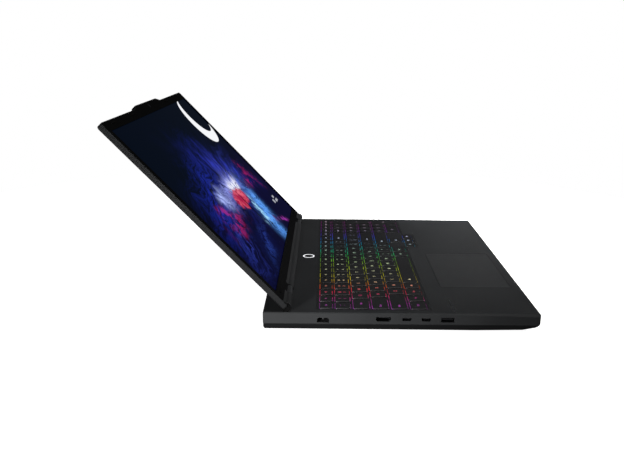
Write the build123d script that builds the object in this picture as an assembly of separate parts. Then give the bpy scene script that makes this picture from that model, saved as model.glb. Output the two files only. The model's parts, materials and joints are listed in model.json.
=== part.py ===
"""A 16-inch gaming laptop, as an assembly of separate pieces.

Frame: millimetres, +X to the user's right, +Y away from the user, +Z up. The origin lies on the
desk, under the middle of the lid's hinge axis, at the centre of the rear foot's rest face.
The lid is drawn closed, in the same frame, and turned about the hinge axis to LID_OPEN degrees.
"""

from build123d import *
import os

# ---- driving dimensions -------------------------------------------------------------------
WIDTH = 364.0  # across the base
FRONT_Y = -246.9  # front edge of the base; the hinge axis is at y = 0
REAR_Y = 22.9  # rear edge of the shelf behind the hinge
BOTTOM_Z = 1.6  # underside of the bottom cover, standing on its feet
BOTTOM_FLOOR_Z = 3.8  # inner face of the bottom cover
RISE_Y, RISE_H = -185.0, 1.1  # from here the underside rises towards its front edge, and by how much
NOSE_Y = FRONT_Y + 17.0  # where the rise gives way to the steeper front edge
SEAM_Z = 8.4  # where the bottom cover meets the top case
DECK_Z = 19.6  # top of the deck
DECK_T = 1.6  # deck and side wall thickness
HALF_W = WIDTH / 2
MID_Y = (FRONT_Y + REAR_Y) / 2
DEPTH = REAR_Y - FRONT_Y

AXIS_Z = 23.3  # height of the hinge axis
LID_OPEN = 133.93  # angle between the deck and the screen in the stored pose
LID_LENGTH = 245.0  # from the lid's hinge edge to its top edge
LID_HALF_W = 180.0
LID_FACE_Z = 20.4  # the bezel's face when closed
LID_BACK_Z = 26.6  # the outer face when closed
LID_EDGE_Y = 0.2  # the lid's hinge edge when closed
LID_TOP_Y = LID_EDGE_Y - LID_LENGTH
LIP_Y = LID_EDGE_Y - 7.2  # where the lip of the hinge cover meets the bezel on the closed lid
BARREL_R = 4.7
CAP_INNER, CAP_OUTER = 125.5, 146.6  # |x| span of each hinge cap
PIN_R = 2.0
KNUCKLE_R = 3.1
BRACKET_SCREW_X = (122.5, 153.0)  # |x| of the two screws of each hinge bracket

SCREEN_W, SCREEN_H = 345.0, 216.0  # lit area, 16:10
SCREEN_BOTTOM = 18.0  # from the lid's hinge edge to the lit area
BUMP_H = 4.0  # camera bump beyond the lid's top edge
BUMP_FOOT, BUMP_TIP = 60.0, 47.0  # half widths of the bump

KEY_U = 18.65  # key pitch across the main block
KEY_GAP = 2.9  # between two keycaps
KEY_SLOT = 0.55  # clear slot around each keycap
KEY_TOP = 19.9
KEY_H = 1.9
KEY_TRAVEL = 1.2
KEYS_LEFT, KEYS_REAR = -171.5, -31.2
PAD_LEFT = 109.0  # left edge of the number pad
PAD_U = 15.8
ROW_DEPTHS = (15.4, 18.0, 18.9, 18.9, 18.9, 18.9, 13.8)  # function row to arrow row
FRAME_TOP = 19.1  # keyboard frame, a step below the deck
BACKLIGHT_Z = 16.5  # top of the lit sheet under the keys

TOUCHPAD_X, TOUCHPAD_Y = -45.0, -199.0
TOUCHPAD_W, TOUCHPAD_D = 120.0, 75.0
BUTTON_X, BUTTON_Y, BUTTON_R = 0.0, -18.0, 7.4

BOARD_TOP = 10.0  # upper face of the circuit board
BOARD_T = 1.2
FAN_X, FAN_Y, FAN_R = 107.0, -58.0, 34.0
PORT_Z = 13.1  # centre height of the side sockets
SIDES = (-1, 1)  # left, right

# ---- side sockets: centre y, opening width along y, opening height, centre z, and for some the
# ---- cuts across the opening's two upper and two lower corners -----------------------------
POWER_INLET = (-35.9, 11.8, 5.0, 12.0, 1.7, 0.0)
HDMI = (-94.5, 14.6, 4.6, 13.3, 0.0, 1.6)
USB_C = [(-117.3, 8.9, 3.2, 13.4), (-136.1, 8.9, 3.2, 13.2)]
USB_A_LEFT = (-156.8, 13.0, 4.9, 13.1)
USB_A_RIGHT = [(-92.0, 13.0, 4.9, 13.1), (-114.0, 13.0, 4.9, 13.1)]
ETHERNET = (-19.0, 12.2, 8.0, 13.1)
AUDIO_Y, AUDIO_R, AUDIO_L = -136.0, 1.8, 14.0
SWITCH_Y, SWITCH_W, SWITCH_H, SWITCH_TRAVEL = -156.0, 3.4, 1.8, 2.0

PARTS = "parts"


# ---- helpers ------------------------------------------------------------------------------
def save(name, *solids):
    """Writes one node: every solid given, each a separate piece of it."""
    whole = []
    for shape in solids:
        whole += list(shape.solids())
    shape = whole[0] if len(whole) == 1 else Compound(children=whole)
    export_step(shape, os.path.join(PARTS, name + ".step"))


def block(x0, x1, y0, y1, z0, z1):
    """A box from its corner coordinates."""
    size = (abs(x1 - x0), abs(y1 - y0), abs(z1 - z0))
    return Pos((x0 + x1) / 2, (y0 + y1) / 2, (z0 + z1) / 2) * Box(*size)


def rounded(x0, x1, y0, y1, z0, z1, r):
    """A box with its four upright edges rounded."""
    face = RectangleRounded(abs(x1 - x0), abs(y1 - y0), r)
    return Pos((x0 + x1) / 2, (y0 + y1) / 2, min(z0, z1)) * extrude(face, abs(z1 - z0))


def post(x, y, z0, z1, r):
    """An upright cylinder."""
    return Pos(x, y, (z0 + z1) / 2) * Cylinder(r, abs(z1 - z0))


def rod_x(x0, x1, y, z, r):
    """A cylinder along X."""
    return Pos((x0 + x1) / 2, y, z) * Rot(0, 90, 0) * Cylinder(r, abs(x1 - x0))


def prism_x(points, x0, x1):
    """An outline of (y, z) points, extruded along X."""
    face = Plane.YZ * make_face(Polyline(*points, close=True))
    return Pos(min(x0, x1), 0, 0) * extrude(face, abs(x1 - x0), dir=(1, 0, 0))


def outline(points, z0, z1):
    """An outline of (x, y) points, extruded upwards."""
    return Pos(0, 0, z0) * extrude(make_face(Polyline(*points, close=True)), z1 - z0)


def opened(shape):
    """Turns a piece drawn on the closed lid to the stored, open pose."""
    about = Pos(0, 0, AXIS_Z)
    return about * Rot(-LID_OPEN, 0, 0) * Pos(0, 0, -AXIS_Z) * shape


def mouth(width, height, upper=0.0, lower=0.0, grow=0.0, r=0.5):
    """A socket's outline, rounded or with its upper or lower corners cut across."""
    w, h = width / 2 + grow, height / 2 + grow
    if not upper and not lower:
        return Plane.YZ * RectangleRounded(2 * w, 2 * h, r + grow)
    points = [(-w, lower - h), (lower - w, -h), (w - lower, -h), (w, lower - h)]
    points += [(w, h - upper), (w - upper, h), (upper - w, h), (-w, h - upper)]
    points = [p for i, p in enumerate(points) if p != points[i - 1]]
    return Plane.YZ * make_face(Polyline(*points, close=True))


def side_hole(side, socket, depth, r=0.6):
    """An opening through a side wall, cut from outside to the stated depth."""
    y, width, height, z, *cuts = socket
    solid = extrude(mouth(width, height, *cuts, r=r), depth, dir=(1, 0, 0))
    x0 = side * (HALF_W + 0.5)
    return Pos(min(x0, x0 - side * depth), y, z) * solid


# ---- key layout ---------------------------------------------------------------------------
def row_edges():
    """Rear and front y of each key row, from the function row to the arrow row."""
    edges = []
    y = KEYS_REAR
    for depth in ROW_DEPTHS:
        edges.append((y, y - depth))
        y -= depth
    return edges


def run(start, widths, row, unit=KEY_U):
    """Cells (x0, x1, y0, y1) of neighbouring keys, given their widths in units."""
    cells = []
    x = start
    rear, front = row_edges()[row]
    for width in widths:
        cells.append((x, x + width * unit, front, rear))
        x += width * unit
    return cells


def key_groups():
    """Every keycap's cell, by the group of keys that it belongs to."""
    edges = row_edges()
    bottom = run(KEYS_LEFT, (1.2, 1, 1, 1, 5.1, 1, 1.25), 5)
    arrows_left = bottom[-1][1]
    number_pad = run(PAD_LEFT, (1, 1, 1, 1), 1, PAD_U)
    for row in (2, 3, 4):
        number_pad += run(PAD_LEFT, (1, 1, 1), row, PAD_U)
    number_pad += run(PAD_LEFT, (2, 1), 5, PAD_U)
    last = PAD_LEFT + 3 * PAD_U
    for upper in (2, 4):
        number_pad.append((last, last + PAD_U, edges[upper + 1][1], edges[upper][0]))
    return {
        "keys_function_row": run(KEYS_LEFT, (1,) * 15, 0) + run(PAD_LEFT, (1,) * 4, 0, PAD_U),
        "keys_number_row": run(KEYS_LEFT, (1,) * 13 + (2,), 1),
        "keys_upper_row": run(KEYS_LEFT, (1.5,) + (1,) * 12 + (1.5,), 2),
        "keys_home_row": run(KEYS_LEFT, (1.75,) + (1,) * 11 + (2.25,), 3),
        "keys_lower_row": run(KEYS_LEFT, (2.25,) + (1,) * 10 + (2.75,), 4),
        "keys_bottom_row": bottom[:4] + bottom[5:],
        "key_space": bottom[4:5],
        "keys_arrow": run(arrows_left + KEY_U, (1,), 5) + run(arrows_left, (1, 1, 1), 6),
        "keys_number_pad": number_pad,
    }


def key_face(cell, grow=0.0):
    """Plan outline of a keycap, with softer corners at its front edge."""
    x0, x1, y0, y1 = cell
    face = Rectangle(x1 - x0 - KEY_GAP + 2 * grow, y1 - y0 - KEY_GAP + 2 * grow)
    face = fillet(face.vertices().sort_by(Axis.Y)[:2], 3.0 + grow)
    face = fillet(face.vertices().sort_by(Axis.Y)[-2:], 1.4 + grow)
    return Pos((x0 + x1) / 2, (y0 + y1) / 2, 0) * face


def keycap(cell):
    """A straight skirt with a slightly drawn-in crown."""
    skirt = extrude(key_face(cell), KEY_H - 0.7)
    crown = Pos(0, 0, KEY_H - 0.7) * extrude(key_face(cell), 0.7, taper=35)
    return Pos(0, 0, KEY_TOP - KEY_H) * (skirt + crown)


def keyboard_plan(grow=0.0):
    """Outline of the keyboard, with its step forward round the arrow keys."""
    groups = key_groups()
    edges = row_edges()
    arrows = groups["keys_arrow"]
    left, right = KEYS_LEFT - 1.2 - grow, PAD_LEFT + 4 * PAD_U + 1.2 + grow
    rear, front = edges[0][0] + 1.2 + grow, edges[5][1] - 1.2 - grow
    step_left = min(c[0] for c in arrows) - 1.4 - grow
    step_right = max(c[1] for c in arrows) + 1.4 + grow
    step_front = edges[6][1] - 1.4 - grow
    main = RectangleRounded(right - left, rear - front, 2.0)
    step = RectangleRounded(step_right - step_left, rear - step_front, 2.0)
    main = Pos((left + right) / 2, (rear + front) / 2, 0) * main
    return main + Pos((step_left + step_right) / 2, (rear + step_front) / 2, 0) * step


# ---- base shells --------------------------------------------------------------------------
def base_plan(inset=0.0, front_r=2.0, rear_r=0.9):
    """Plan outline of the base, with softer corners at the front."""
    face = Rectangle(WIDTH - 2 * inset, DEPTH - 2 * inset)
    face = fillet(face.vertices().sort_by(Axis.Y)[:2], front_r)
    face = fillet(face.vertices().sort_by(Axis.Y)[-2:], rear_r)
    return Pos(0, MID_Y, 0) * face


def side_holes(side, sockets):
    """Openings in one side wall, one for each socket."""
    return [side_hole(side, socket, DECK_T + 1.5) for socket in sockets]


def edge_facet():
    """Material above the sloping facet on the left edge of the palm rest, which widens towards the
    front corner, and outside the fine bevel along its lower side."""
    start, wide = 0.9, 3.0
    a = Vector(-HALF_W, -140.0, DECK_Z - start)
    b = Vector(-HALF_W, FRONT_Y, DECK_Z - wide)
    c = Vector(-HALF_W + wide, FRONT_Y, DECK_Z)
    facet = (b - a).cross(c - a).normalized()
    bevel = (facet + Vector(-1, 0, 0)).normalized()
    above = Plane(origin=b, z_dir=facet) * Pos(0, 0, 30) * Box(700, 700, 60)
    outside = Plane(origin=b - bevel * 0.16, z_dir=bevel) * Pos(0, 0, 30) * Box(700, 700, 60)
    return [above, outside]


def top_case():
    """Palm rest, deck and side walls, with every opening of the deck and the walls."""
    case = Pos(0, 0, SEAM_Z) * extrude(base_plan(), DECK_Z - SEAM_Z)
    case = chamfer(case.faces().sort_by(Axis.Z)[-1].edges(), 0.9)
    cavity = base_plan(DECK_T, 0.8, 0.4)
    case -= Pos(0, 0, SEAM_Z) * extrude(cavity, DECK_Z - DECK_T - SEAM_Z)
    nose = [(FRONT_Y - 1, 11.26), (FRONT_Y + 1.8, 7.45), (FRONT_Y - 1, 7.45)]
    case -= prism_x(nose, -HALF_W - 1, HALF_W + 1)
    for cut in edge_facet():
        case -= cut
        case -= mirror(cut, Plane.YZ)
    band = block(-HALF_W + 1, HALF_W - 1, -8.5, 8.5, DECK_Z - DECK_T - 1.5, DECK_Z - DECK_T)
    case += band
    case -= rod_x(-HALF_W + 1.3, HALF_W - 1.3, 0, AXIS_Z, BARREL_R + 0.4)
    for side in SIDES:
        web = (side * (CAP_INNER + 4.6), side * (CAP_OUTER - 4.4))
        case -= block(*web, -2.7, 2.7, SEAM_Z, DECK_Z)
        for x in BRACKET_SCREW_X:
            case += post(side * x, -14.0, 16.4, DECK_Z - DECK_T, 3.0)
            case -= post(side * x, -14.0, 16.0, DECK_Z - 0.6, 1.05)
    recess = Pos(0, 0, FRAME_TOP) * extrude(keyboard_plan(1.0), 2.0)
    opening = Pos(0, 0, DECK_Z - 4) * extrude(keyboard_plan(0.1), 6.0)
    case -= recess + opening
    pad = (TOUCHPAD_W / 2 + 0.3, TOUCHPAD_D / 2 + 0.3)
    case -= Pos(TOUCHPAD_X, TOUCHPAD_Y, 0) * rounded(-pad[0], pad[0], -pad[1], pad[1], 15, 21, 2.4)
    case -= post(BUTTON_X, BUTTON_Y, 15, 21, BUTTON_R + 0.3)
    case -= side_holes(-1, [POWER_INLET, HDMI, *USB_C, USB_A_LEFT])
    case -= side_holes(1, [ETHERNET, *USB_A_RIGHT])
    case -= rod_x(HALF_W - 3, HALF_W + 3, AUDIO_Y, PORT_Z, 2.8)
    slide = SWITCH_W + SWITCH_TRAVEL + 0.6
    case -= side_hole(1, (SWITCH_Y - SWITCH_TRAVEL / 2, slide, SWITCH_H + 0.6, PORT_Z), 4.0, 0.9)
    for side in SIDES:
        case -= block(side * 26.0, side * 172.0, REAR_Y - 3, REAR_Y + 3, 9.8, 17.6)
    # shallow badge groove on the left palm rest
    case -= rounded(-175.5, -142.5, -165.0, -163.2, DECK_Z - 0.25, DECK_Z + 1, 0.8)
    return case


def palm_badge():
    """Plain metal inlay in the palm rest groove."""
    return rounded(-175.4, -142.6, -164.9, -163.3, DECK_Z - 0.24, DECK_Z + 0.08, 0.75)


def foot_points():
    """Centres of the bottom screws."""
    rear = [(x, 12.0) for x in (-168.0, -60.0, 60.0, 168.0)]
    middle = [(x, -112.0) for x in (-168.0, 0.0, 168.0)]
    front = [(x, -222.0) for x in (-168.0, 0.0, 168.0)]
    return rear + middle + front


def intake_slots():
    """Long air slots under each fan, and short ones under each speaker."""
    slots = []
    slot = extrude(SlotOverall(26.0, 3.0), 8.0)
    short = extrude(SlotOverall(12.0, 1.6), 8.0)
    for side in SIDES:
        for column in range(3):
            for row in range(15):
                x = side * (72.0 + 30.0 * column)
                slots.append(Pos(x, -26.0 - 5.2 * row, -2) * slot)
        for column in range(2):
            for row in range(4):
                slots.append(Pos(side * (146.0 + 15.0 * column), -196.0 - 3.4 * row, -2) * short)
    return slots


def under_z(y):
    """Height of the underside at y."""
    return BOTTOM_Z + RISE_H * min(max((RISE_Y - y) / (RISE_Y - NOSE_Y), 0), 1)


def bottom_cover():
    """Tray under the base: sides leaning in, front edge rising, air slots and screw recesses."""
    inset = 0.3
    tray = Pos(0, 0, BOTTOM_Z) * extrude(base_plan(inset), SEAM_Z - BOTTOM_Z)
    low, high = BOTTOM_Z - 1, SEAM_Z + 1.2
    lean = [(HALF_W + 0.74, high), (HALF_W - 3.42, low), (HALF_W + 5, low), (HALF_W + 5, high)]
    wedge = Plane.XZ * make_face(Polyline(*lean, close=True))
    wedge = Pos(0, REAR_Y + 5, 0) * extrude(wedge, DEPTH + 10, dir=(0, -1, 0))
    tray -= wedge
    tray -= mirror(wedge, Plane.YZ)
    nose = [
        (RISE_Y, low),
        (RISE_Y, BOTTOM_Z),
        (NOSE_Y, BOTTOM_Z + RISE_H),
        (FRONT_Y + 4.2, 5.8),
        (FRONT_Y + 0.2, 9.1),
        (FRONT_Y - 5, 9.1),
        (FRONT_Y - 5, low),
    ]
    tray -= prism_x(nose, -HALF_W - 5, HALF_W + 5)
    heel = [(REAR_Y - 1.6, BOTTOM_Z - 1), (REAR_Y - 1.6, BOTTOM_Z), (REAR_Y, 4.6), (REAR_Y + 3, 4.6)]
    heel += [(REAR_Y + 3, BOTTOM_Z - 1)]
    tray -= prism_x(heel, -HALF_W - 5, HALF_W + 5)
    tray -= rounded(-177, 177, FRONT_Y + 18.5, REAR_Y - 3.2, BOTTOM_FLOOR_Z, SEAM_Z + 1, 3)
    for foot in front_feet():
        tray -= foot
    tray -= intake_slots()
    for x, y in foot_points():
        under = under_z(y)
        tray += post(x, y, under + 0.6, SEAM_Z - 0.6, 3.6)
        tray -= post(x, y, under - 1, under + 0.9, 2.7)
        tray -= post(x, y, under + 0.2, SEAM_Z + 1, 1.3)
    return tray


def bottom_screws():
    """Flat-headed screws, sunk in the bottom cover."""
    screws = []
    for x, y in foot_points():
        under = under_z(y)
        head = post(x, y, under + 0.1, under + 0.88, 2.5)
        screw = head + post(x, y, under + 0.5, SEAM_Z - 0.8, 1.2)
        screws.append(screw - post(x, y, under - 1, under + 0.5, 0.9))
    return screws


def rear_grille(side):
    """Upright exhaust slats in one half of the rear wall."""
    x0, x1 = sorted((side * 26.2, side * 171.8))
    plate = block(x0, x1, REAR_Y - 1.9, REAR_Y - 0.5, 9.9, 17.5)
    pitch, count = 4.2, 34
    first = (x0 + x1) / 2 - pitch * (count - 1) / 2
    gap = rounded(-1.35, 1.35, -3, 3, 0, 5.8, 1.0)
    return plate - [Pos(first + pitch * i, REAR_Y - 1, 10.8) * gap for i in range(count)]


def rear_foot():
    return rounded(-150, 150, -5, 5, 0, BOTTOM_Z, 4.6)


def front_feet():
    """Pads set into the rising underside."""
    return [rounded(side * 60, side * 150, -220, -212, 0, under_z(-220) + 0.3, 3.6) for side in SIDES]


# ---- keyboard, touchpad, power button -----------------------------------------------------
def keyboard_frame():
    """Thin lattice between the keycaps."""
    plan = keyboard_plan()
    cells = [cell for group in key_groups().values() for cell in group]
    plan -= [key_face(cell, KEY_SLOT) for cell in cells]
    return Pos(0, 0, DECK_Z - DECK_T) * extrude(plan, FRAME_TOP - DECK_Z + DECK_T)


def keyboard_backlight():
    """Light sheet, lit from below the keys."""
    return Pos(0, 0, BACKLIGHT_Z - 0.2) * extrude(keyboard_plan(-0.6), 0.2)


def keyboard_base_plate():
    """Sheet-metal plate that carries the keyboard, turned up at its rim to meet the deck."""
    low = BACKLIGHT_Z - 0.5
    plate = Pos(0, 0, low) * extrude(keyboard_plan(2.2), 0.3)
    wall = Pos(0, 0, low) * extrude(keyboard_plan(2.2), DECK_Z - DECK_T - low)
    wall -= Pos(0, 0, low - 1) * extrude(keyboard_plan(1.4), 10)
    return plate + wall


def touchpad():
    half_w, half_d = TOUCHPAD_W / 2, TOUCHPAD_D / 2
    pad = rounded(-half_w, half_w, -half_d, half_d, DECK_Z - 1.25, DECK_Z - 0.15, 2.0)
    pad = chamfer(pad.faces().sort_by(Axis.Z)[-1].edges(), 0.2)
    return Pos(TOUCHPAD_X, TOUCHPAD_Y, 0) * pad


def touchpad_bracket():
    """Tray under the touchpad, with the switch that the pad presses."""
    half_w, half_d = TOUCHPAD_W / 2 + 6, TOUCHPAD_D / 2 + 4
    tray = rounded(-half_w, half_w, -half_d, half_d, DECK_Z - 3.4, DECK_Z - 2.8, 2)
    for x in (-half_w + 2.5, half_w - 2.5):
        tray += block(x - 2.2, x + 2.2, -half_d + 3, half_d - 3, DECK_Z - 2.9, DECK_Z - DECK_T)
    switch = block(-3, 3, -half_d + 8, -half_d + 13, DECK_Z - 2.9, DECK_Z - 2.0)
    return Pos(TOUCHPAD_X, TOUCHPAD_Y, 0) * (tray + switch)


def power_button():
    cap = post(BUTTON_X, BUTTON_Y, DECK_Z - 2.4, DECK_Z + 0.2, BUTTON_R)
    cap = chamfer(cap.faces().sort_by(Axis.Z)[-1].edges(), 0.25)
    groove = post(BUTTON_X, BUTTON_Y, DECK_Z - 0.1, DECK_Z + 1, BUTTON_R - 0.35)
    groove -= post(BUTTON_X, BUTTON_Y, DECK_Z - 0.2, DECK_Z + 2, BUTTON_R - 1.95)
    return cap - groove


def power_button_ring():
    """Light ring let into the button's face."""
    ring = post(BUTTON_X, BUTTON_Y, DECK_Z - 0.1, DECK_Z + 0.22, BUTTON_R - 0.4)
    return ring - post(BUTTON_X, BUTTON_Y, DECK_Z - 1, DECK_Z + 1, BUTTON_R - 1.9)


# ---- sockets ------------------------------------------------------------------------------
def socket_shell(side, socket, depth, wall=0.35, r=0.5):
    """Metal can of a socket, open towards the outside."""
    y, width, height, z, *cuts = socket
    face_x = HALF_W - DECK_T - 0.1
    outer = mouth(width, height, *cuts, grow=wall, r=r)
    inner = mouth(width, height, *cuts, r=r)
    can = extrude(outer, depth, dir=(1, 0, 0)) - Pos(0.8, 0, 0) * extrude(inner, depth, dir=(1, 0, 0))
    can = Pos(face_x - depth, y, z) * can
    return can if side > 0 else mirror(can, Plane.YZ)


def tongue(side, socket, depth, length, width, height, rise=0.0):
    """Contact carrier inside a socket, standing on its back wall."""
    y, _, _, z, *_ = socket
    back = HALF_W - DECK_T - 0.1 - depth
    x0, x1 = back + 0.4, back + 0.8 + length
    return block(side * x0, side * x1, y - width / 2, y + width / 2, z + rise - height / 2, z + rise + height / 2)


def power_inlet():
    """Flat rectangular inlet with a centre pin."""
    can = socket_shell(-1, POWER_INLET, 11.0, 0.9)
    return can + tongue(-1, POWER_INLET, 11.0, 7.5, 1.6, 1.6)


def hdmi_port():
    can = socket_shell(-1, HDMI, 11.5)
    return can + tongue(-1, HDMI, 11.5, 8.0, 10.5, 1.2, 0.3)


def usb_c_ports():
    ports = []
    for socket in USB_C:
        ports.append(socket_shell(-1, socket, 9.0, 0.4, 1.4) + tongue(-1, socket, 9.0, 7.2, 6.2, 0.9))
    return ports


def usb_a_ports():
    ports = []
    for side, socket in [(-1, USB_A_LEFT)] + [(1, s) for s in USB_A_RIGHT]:
        ports.append(socket_shell(side, socket, 14.0) + tongue(side, socket, 14.0, 12.4, 11.2, 1.8, 0.1))
    return ports


def ethernet_port():
    """Modular jack with the notch for its plug's latch below the opening."""
    y, width, height, z = ETHERNET
    jack = socket_shell(1, ETHERNET, 15.0, 0.6, 0.3)
    x1 = HALF_W - DECK_T - 0.1
    contacts = block(x1 - 14.0, x1 - 11.0, y - 4.5, y + 4.5, z - height / 2 - 0.2, z - height / 2 + 1.6)
    return jack + contacts


def audio_jack():
    """Round jack: a block with a blind bore."""
    x1 = HALF_W - DECK_T + 1.0
    body = block(x1 - AUDIO_L - 2, x1 - 2.6, AUDIO_Y - 3.4, AUDIO_Y + 3.4, PORT_Z - 2.8, PORT_Z + 2.8)
    body += rod_x(x1 - 3, x1, AUDIO_Y, PORT_Z, 2.7)
    return body - rod_x(x1 - AUDIO_L, x1 + 1, AUDIO_Y, PORT_Z, AUDIO_R)


def shutter_switch():
    """Slider that shuts off the camera."""
    knob = block(HALF_W - 2.6, HALF_W + 0.35, -SWITCH_W / 2, SWITCH_W / 2, -SWITCH_H / 2, SWITCH_H / 2)
    knob += block(HALF_W - 3.6, HALF_W - 2.2, -4.2, 4.2, -1.8, 1.8)
    return Pos(0, SWITCH_Y, PORT_Z) * knob


# ---- hinge --------------------------------------------------------------------------------
def hinge_bracket(side):
    """Steel bracket under the deck, with the knuckle that the pin turns in."""
    x0, x1 = CAP_INNER + 5.0, CAP_OUTER - 4.8
    bracket = rod_x(x0, x1, 0, AXIS_Z, KNUCKLE_R) + block(x0, x1, -2.2, 2.2, 15.4, AXIS_Z - 1)
    bracket += rounded(117.5, 158, -19, 4, 15.2, 16.4, 2)
    bracket -= rod_x(x0 - 1, x1 + 1, 0, AXIS_Z, PIN_R + 0.05)
    for x in BRACKET_SCREW_X:
        bracket -= post(x, -14.0, 14, 18, 1.25)
    return bracket if side > 0 else mirror(bracket, Plane.YZ)


def hinge_bracket_screws():
    screws = []
    for side in SIDES:
        for x in BRACKET_SCREW_X:
            head = post(side * x, -14.0, 14.7, 15.18, 2.2)
            screws.append(head + post(side * x, -14.0, 15.0, DECK_Z - 0.8, 1.0))
    return screws


def hinge_cap(side):
    """Cover round the fixed knuckle, flat in front and on top, with a hole for the pin and the web."""
    cap = rod_x(CAP_INNER, CAP_OUTER, 0, AXIS_Z, BARREL_R)
    cap = chamfer(cap.edges().filter_by(GeomType.CIRCLE), 0.4)
    cap &= block(CAP_INNER - 1, CAP_OUTER + 1, -4.0, BARREL_R + 1, AXIS_Z - BARREL_R - 1, AXIS_Z + 4.0)
    cap -= rod_x(CAP_INNER + 1.0, CAP_OUTER - 1.0, 0, AXIS_Z, KNUCKLE_R + 0.15)
    cap -= rod_x(CAP_INNER - 1, CAP_OUTER - 1.5, 0, AXIS_Z, PIN_R + 0.3)
    cap -= block(CAP_INNER + 4.6, CAP_OUTER - 4.4, -2.6, 2.6, 15, AXIS_Z - 2)
    return cap if side > 0 else mirror(cap, Plane.YZ)


def hinge_pin(side):
    """Steel pin, pressed in the lid's arm and turning in the bracket's knuckle."""
    pin = rod_x(111.5, CAP_OUTER - 2.0, 0, AXIS_Z, PIN_R)
    pin = chamfer(pin.edges().filter_by(GeomType.CIRCLE), 0.3)
    return opened(pin if side > 0 else mirror(pin, Plane.YZ))


def arm_screw_points():
    return [(105.0, -9.5), (105.0, -20.0), (105.0, -30.5)]


def hinge_arm(side):
    """Steel leaf inside the lid, with the ring that holds the pin."""
    arm = rod_x(112.5, 124.0, 0, AXIS_Z, 3.5)
    arm += block(112.5, 124.0, -9, -1, 24.5, 25.2)
    arm += rounded(101.5, 124.0, -40, -6, 24.5, 25.2, 2)
    arm -= rod_x(111, 126, 0, AXIS_Z, PIN_R)
    for x, y in arm_screw_points():
        arm -= post(x, y, 24, 26, 0.95)
    return opened(arm if side > 0 else mirror(arm, Plane.YZ))


def hinge_arm_screws():
    """Low-headed screws through each leaf into the lid cover."""
    screws = []
    for side in SIDES:
        for x, y in arm_screw_points():
            head = post(side * x, y, 24.42, 24.5, 1.6)
            screws.append(opened(head + post(side * x, y, 24.45, 25.9, 0.85)))
    return screws


COVER_SPANS = ((-CAP_INNER + 0.4, CAP_INNER - 0.4), (CAP_OUTER + 0.4, 178.6), (-178.6, -CAP_OUTER - 0.4))


def barrel_cover():
    """Long round cover along the hinge edge: one middle and two end pieces, open to the lid. A lip
    on each carries the face of the bezel on."""
    pieces = []
    for x0, x1 in COVER_SPANS:
        tube = rod_x(x0, x1, 0, AXIS_Z, BARREL_R)
        tube += block(x0, x1, LIP_Y, -3.0, LID_FACE_Z, LID_FACE_Z + 1.1)
        tube -= rod_x(x0 + 0.8, x1 - 0.8, 0, AXIS_Z, BARREL_R - 0.9)
        if abs(x0 + x1) < 1:
            tube -= rod_x(x0 - 1, x1 + 1, 0, AXIS_Z, PIN_R + 0.3)
        tube -= block(x0 - 1, x1 + 1, -6, 6, LID_BACK_Z, LID_BACK_Z + 4)
        tube -= block(x0 + 0.8, x1 - 0.8, -6, -2.5, 21.5, 25.4)
        pieces.append(opened(tube))
    return pieces


# ---- lid ----------------------------------------------------------------------------------
def lid_plan(inset=0.0, top_r=3.4):
    """Plan outline of the closed lid, with the camera bump past its top edge."""
    half, top = LID_HALF_W - inset, LID_TOP_Y + inset
    face = Rectangle(2 * half, LID_LENGTH - 2 * inset)
    face = fillet(face.vertices().sort_by(Axis.Y)[:2], top_r - inset)
    face = fillet(face.vertices().sort_by(Axis.Y)[-2:], 2.0)
    face = Pos(0, (LID_EDGE_Y + LID_TOP_Y) / 2, 0) * face
    foot, tip = BUMP_FOOT - inset, BUMP_TIP - inset
    bump = Polyline((-foot, top + 3), (-foot, top), (-tip, top - BUMP_H), (tip, top - BUMP_H), (foot, top),
                    (foot, top + 3), close=True)
    bump = make_face(bump)
    bump = fillet(bump.vertices().sort_by(Axis.Y)[:2], 2.0)
    return face + bump


def barrel_clearance():
    return rod_x(-178.8, 178.8, 0, AXIS_Z, BARREL_R + 0.3)


def lid_cover():
    """Outer shell of the lid: a thin plate with a rim round it."""
    cover = Pos(0, 0, LID_FACE_Z + 0.25) * extrude(lid_plan(), LID_BACK_Z - LID_FACE_Z - 0.25)
    cover = chamfer(cover.faces().sort_by(Axis.Z)[-1].edges(), 0.8)
    cover -= Pos(0, 0, LID_FACE_Z) * extrude(lid_plan(1.0), LID_BACK_Z - 1.2 - LID_FACE_Z)
    cover -= barrel_clearance()
    end = block(-181, 181, LID_EDGE_Y - 3.2, LID_EDGE_Y + 1, LID_FACE_Z - 1, LID_BACK_Z + 1)
    cover -= end - rod_x(-182, 182, LID_EDGE_Y - 3.2, (LID_FACE_Z + 0.25 + LID_BACK_Z) / 2, 3.2)
    for side in SIDES:
        for x, y in arm_screw_points():
            cover -= post(side * x, y, 24, 26, 0.95)
    return opened(cover)


def screen_span():
    """Lowest and highest y of the lit area on the closed lid."""
    bottom = LID_EDGE_Y - SCREEN_BOTTOM
    return bottom - SCREEN_H, bottom


def display_bezel():
    """Black frame round the screen, with a hole for the camera and one for each microphone."""
    low, high = screen_span()
    bezel = Pos(0, 0, LID_FACE_Z) * extrude(lid_plan(1.1), 0.8)
    bezel -= block(-SCREEN_W / 2, SCREEN_W / 2, low, high, LID_FACE_Z - 1, LID_FACE_Z + 2)
    bezel -= barrel_clearance()
    for x0, x1 in COVER_SPANS:
        bezel -= block(x0 - 0.2, x1 + 0.2, LIP_Y - 0.15, 4, LID_FACE_Z - 1, LID_FACE_Z + 2)
    bezel -= post(0, LID_TOP_Y + 1.8, LID_FACE_Z - 1, LID_FACE_Z + 2, 2.6)
    for side in SIDES:
        bezel -= post(side * 34.0, LID_TOP_Y + 1.8, LID_FACE_Z - 1, LID_FACE_Z + 2, 0.6)
    return opened(bezel)


def display_panel():
    """Display cell and its cover glass, seen through the bezel."""
    low, high = screen_span()
    return opened(block(-174.5, 174.5, low - 2.6, high + 4.5, LID_FACE_Z + 0.85, LID_FACE_Z + 2.2))


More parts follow.
